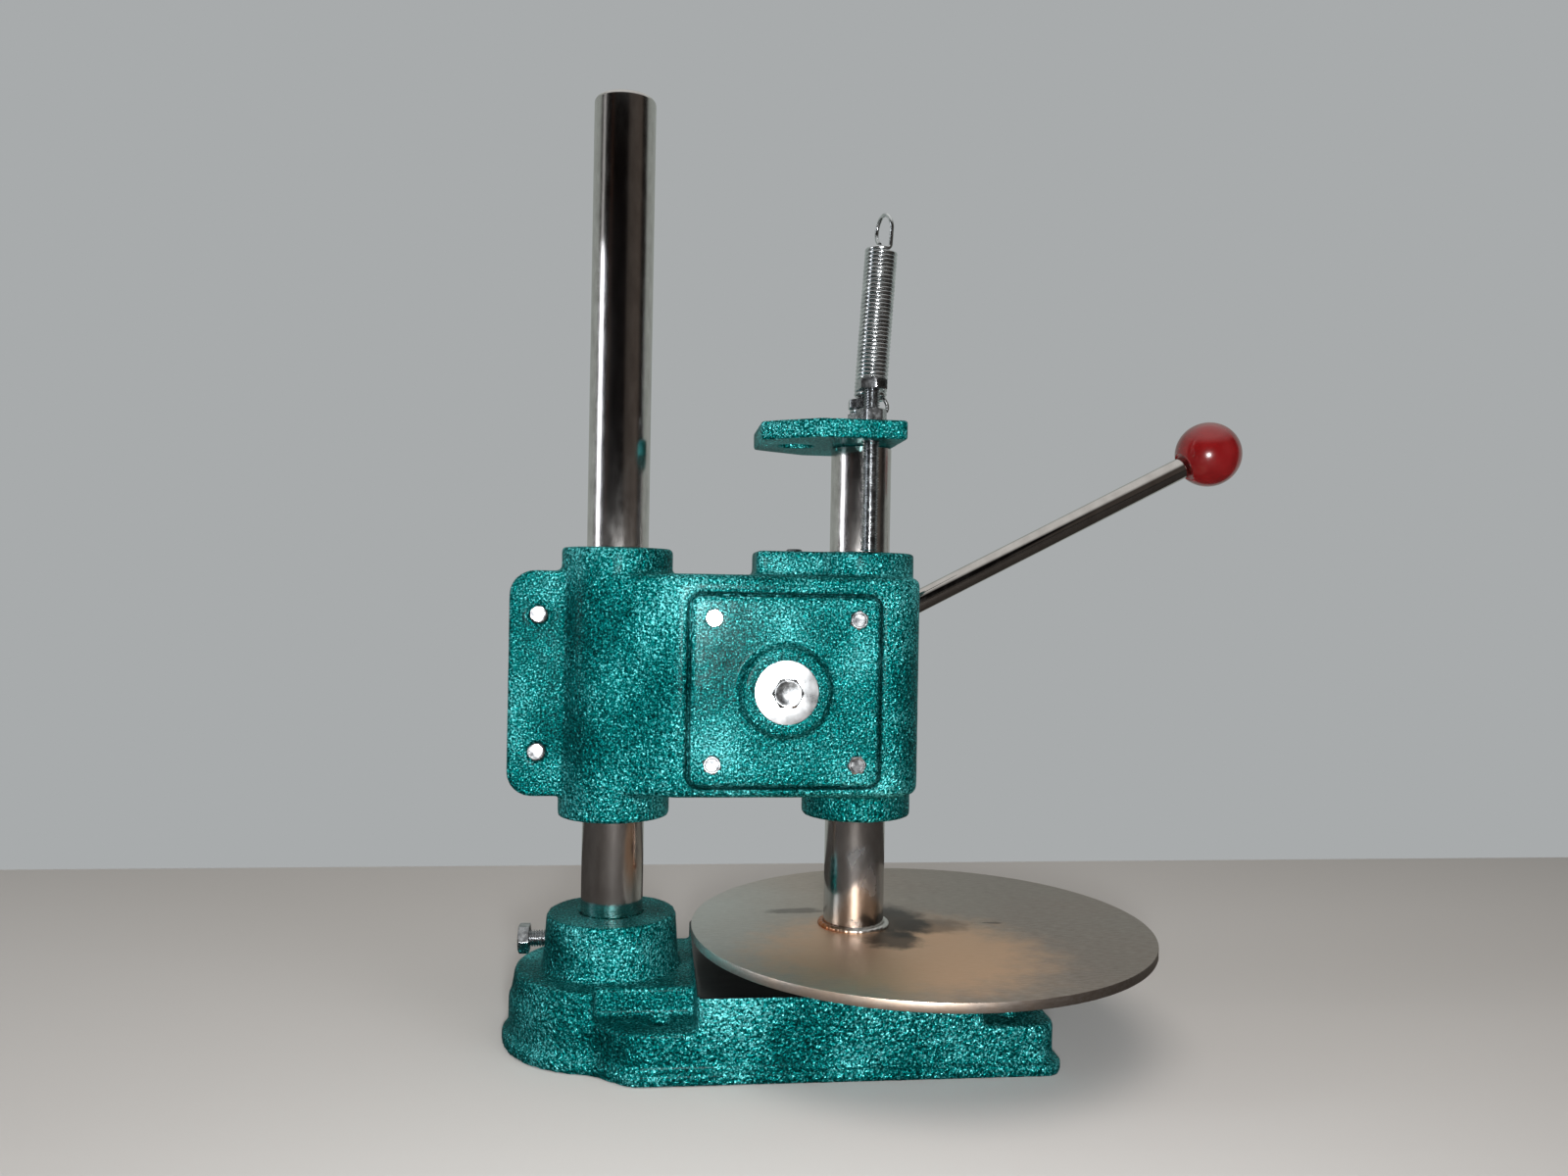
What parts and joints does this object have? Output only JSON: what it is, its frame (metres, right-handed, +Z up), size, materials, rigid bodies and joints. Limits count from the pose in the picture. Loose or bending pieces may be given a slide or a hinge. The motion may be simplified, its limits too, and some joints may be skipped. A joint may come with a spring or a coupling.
{
  "type": "hand lever plate press",
  "caption": "Bench hand press: cast base, round column, clamped head with a lever-driven rack ram, thin round pressing plate, stop bracket and return spring.",
  "frame": {"origin": "centre of the four bench holes, on the underside of the base", "axes": "+Z up along the column, +X from the column towards the lever's ball, -Y to the front, where the head's cover plate is"},
  "size_m": [0.3959, 0.23, 0.457],
  "materials": {
    "hammer_paint": "teal green hammertone enamel on rough cast iron, small bright flecks",
    "hard_chrome": "polished hard chrome",
    "plate_steel": "ground mild steel plate with fine straight grinding lines",
    "zinc_steel": "bright zinc-plated steel",
    "plain_steel": "turned and milled steel, lightly oiled",
    "spring_steel": "zinc-plated spring wire",
    "bronze": "turned bronze",
    "weld_metal": "weld metal with a copper tint",
    "red_plastic": "glossy red phenolic"
  },
  "bodies": {
    "base": {"base_casting": "hammer_paint", "column_set_screw": "zinc_steel"},
    "column": {"column": "hard_chrome"},
    "head": {"head_casting": "hammer_paint", "guide_hole_plug": "plain_steel", "clamp_bolts": "zinc_steel", "clamp_washers": "zinc_steel", "cover_plate": "hammer_paint", "cover_screws": "zinc_steel", "front_bush": "bronze", "rear_bush": "bronze"},
    "lever": {"pinion_gear": "plain_steel", "pinion_key": "plain_steel", "pinion_shaft": "plain_steel", "shaft_washer": "zinc_steel", "shaft_bolt": "zinc_steel", "lever_hub": "plain_steel", "hub_cross_pin": "plain_steel", "lever_rod": "hard_chrome", "ball_knob": "red_plastic"},
    "ram": {"ram": "hard_chrome", "press_plate": "plate_steel", "weld_bead": "weld_metal", "stop_bracket": "hammer_paint", "bracket_stud": "zinc_steel", "stud_washer": "zinc_steel", "bracket_nut": "zinc_steel", "spring_nut": "zinc_steel", "return_spring": "spring_steel", "stop_lock_nut": "zinc_steel"},
    "stop_screw": {"stop_screw": "zinc_steel"}
  },
  "joints": [
    {"name": "column_turn", "type": "hinge", "parent": "base", "child": "column", "pos_m": [-0.105, 0, 0.06], "axis": [0, 0, 1], "range_deg": [-135, 135]},
    {"name": "head_slide", "type": "slide", "parent": "column", "child": "head", "axis": [0, 0, 1], "range_m": [-0.009, 0.2]},
    {"name": "ram_slide", "type": "slide", "parent": "head", "child": "ram", "axis": [0, 0, 1], "range_m": [0, 0.046]},
    {"name": "lever_turn", "type": "hinge", "parent": "head", "child": "lever", "pos_m": [-0.025, 0, 0.171], "axis": [0, -1, 0], "range_deg": [0, 94.2]},
    {"name": "stop_adjust", "type": "slide", "parent": "ram", "child": "stop_screw", "axis": [0, 0, 1], "range_m": [0, 0.02]}
  ],
  "couplings": [
    {"joint": "lever_turn", "follows": "ram_slide", "rad_per_m": 35.714}
  ]
}
